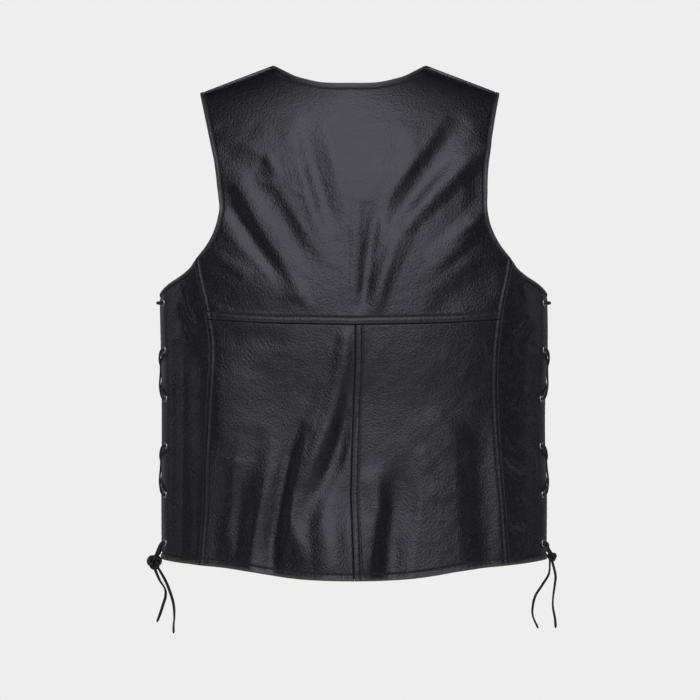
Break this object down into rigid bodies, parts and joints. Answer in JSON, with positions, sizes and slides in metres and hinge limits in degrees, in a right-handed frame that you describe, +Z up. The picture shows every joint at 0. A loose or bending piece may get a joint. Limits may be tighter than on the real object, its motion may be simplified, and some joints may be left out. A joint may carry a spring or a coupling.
{
  "type": "leather vest",
  "caption": "Black leather riding vest, filled out with no wearer, with a back yoke, laced sides with hanging lace ends and a snapped V-neck front.",
  "frame": {"origin": "midway between the two shoulder seams, at their mean height, where the wearer's shoulders hold the vest", "axes": "+Z up, +Y towards the wearer's front, +X towards the wearer's right"},
  "size_m": [0.5111, 0.2403, 0.7088],
  "materials": {
    "vest_leather": "soft semi-matt garment leather with a fine grain, black",
    "lace_leather": "smooth black lacing leather",
    "nickel": "bright nickel plate on brass"
  },
  "bodies": {
    "root": {"back_yoke": "vest_leather", "back_left": "vest_leather", "side_back_left": "vest_leather", "front_left": "vest_leather", "back_right": "vest_leather", "side_back_right": "vest_leather", "front_right": "vest_leather", "eyelet_left_back_1": "nickel", "eyelet_left_back_2": "nickel", "eyelet_left_back_3": "nickel", "eyelet_left_back_4": "nickel", "eyelet_left_back_5": "nickel", "eyelet_left_back_6": "nickel", "eyelet_left_front_1": "nickel", "eyelet_left_front_2": "nickel", "eyelet_left_front_3": "nickel", "eyelet_left_front_4": "nickel", "eyelet_left_front_5": "nickel", "eyelet_left_front_6": "nickel", "lace_left": "lace_leather", "knot_left": "lace_leather", "lace_end_left_1": "lace_leather", "lace_end_left_2": "lace_leather", "eyelet_right_back_1": "nickel", "eyelet_right_back_2": "nickel", "eyelet_right_back_3": "nickel", "eyelet_right_back_4": "nickel", "eyelet_right_back_5": "nickel", "eyelet_right_back_6": "nickel", "eyelet_right_front_1": "nickel", "eyelet_right_front_2": "nickel", "eyelet_right_front_3": "nickel", "eyelet_right_front_4": "nickel", "eyelet_right_front_5": "nickel", "eyelet_right_front_6": "nickel", "lace_right": "lace_leather", "knot_right": "lace_leather", "lace_end_right_1": "lace_leather", "lace_end_right_2": "lace_leather", "snap_cap_1": "nickel", "snap_back_1": "nickel", "snap_cap_2": "nickel", "snap_back_2": "nickel", "snap_cap_3": "nickel", "snap_back_3": "nickel", "snap_cap_4": "nickel", "snap_back_4": "nickel"}
  },
  "joints": []
}
